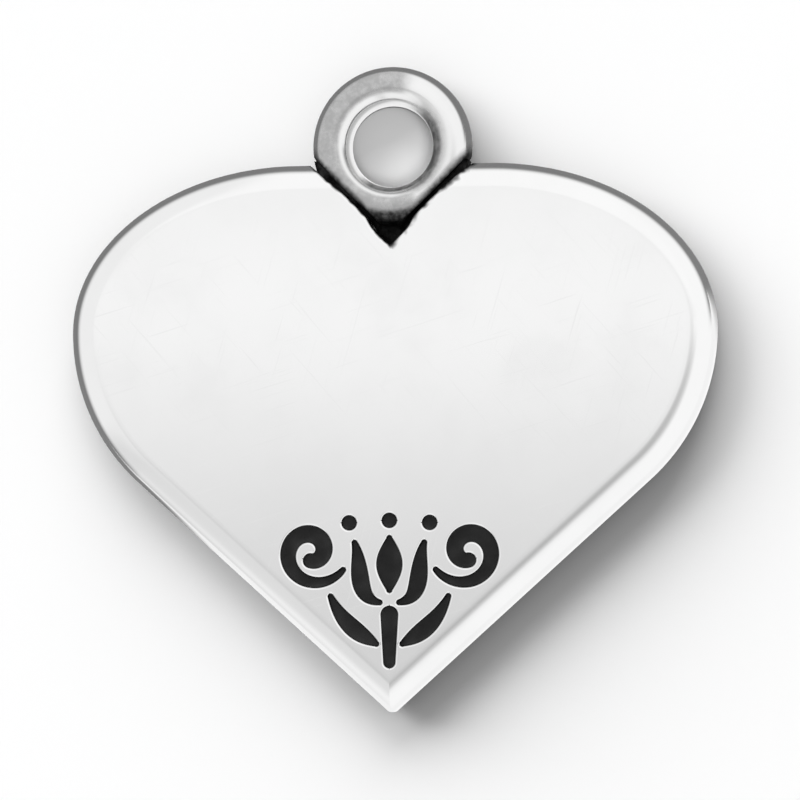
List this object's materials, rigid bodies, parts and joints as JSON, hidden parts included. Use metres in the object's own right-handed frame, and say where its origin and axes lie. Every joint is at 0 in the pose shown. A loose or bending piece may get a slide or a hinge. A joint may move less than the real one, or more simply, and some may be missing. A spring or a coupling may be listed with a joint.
{
  "type": "heart charm",
  "caption": "Flat polished silver heart pendant with a round hanging eye soldered into its notch and a small black inlaid folk sprig above the tip.",
  "frame": {"origin": "middle of the charm's width and length, on the flat back", "axes": "+X to the right seen from the front, +Y from the tip towards the hanging eye, +Z out of the front face"},
  "size_m": [0.0166, 0.0166, 0.0013],
  "materials": {
    "polished_silver": "polished silver with soft rounded edges and fine wear scratches",
    "satin_silver": "softly polished silver, darkened towards the solder seam",
    "dark_solder": "blackened solder, matt and slightly grainy",
    "black_inlay": "black fill, half matt, just below the face"
  },
  "bodies": {
    "root": {"heart_plate": "polished_silver", "hanging_eye": "satin_silver", "solder_seam": "dark_solder", "inlay_stem": "black_inlay", "inlay_bud": "black_inlay", "inlay_petal_left": "black_inlay", "inlay_petal_right": "black_inlay", "inlay_leaf_left": "black_inlay", "inlay_leaf_right": "black_inlay", "inlay_tendril_left": "black_inlay", "inlay_tendril_right": "black_inlay", "inlay_dot_left": "black_inlay", "inlay_dot_middle": "black_inlay", "inlay_dot_right": "black_inlay"}
  },
  "joints": []
}
